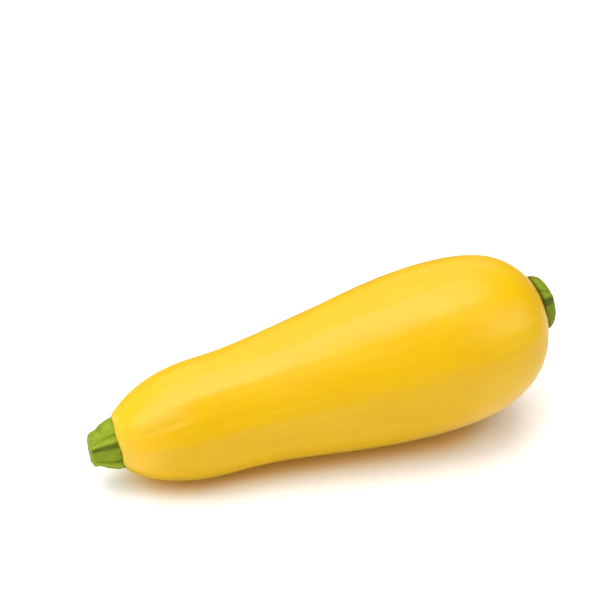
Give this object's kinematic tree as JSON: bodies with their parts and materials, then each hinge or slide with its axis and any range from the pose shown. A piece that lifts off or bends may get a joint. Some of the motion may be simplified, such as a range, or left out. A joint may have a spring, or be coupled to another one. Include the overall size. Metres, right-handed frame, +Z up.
{
  "type": "yellow summer squash",
  "caption": "Whole yellow summer squash with a slim neck, a fuller bulb end, a short cut green stem and a green blossom-end cap, lying on its side.",
  "frame": {"origin": "on the surface the squash lies on, under the middle of its bounding box", "axes": "+X from the cut stem to the blossom end, +Z up"},
  "size_m": [0.1842, 0.065, 0.0674],
  "materials": {
    "skin": "satin waxy yellow skin",
    "stem_green": "matte ridged green stem",
    "cap_green": "matte dark green cap"
  },
  "bodies": {
    "root": {"fruit_body": "skin", "stem": "stem_green", "blossom_end": "cap_green"}
  },
  "joints": []
}
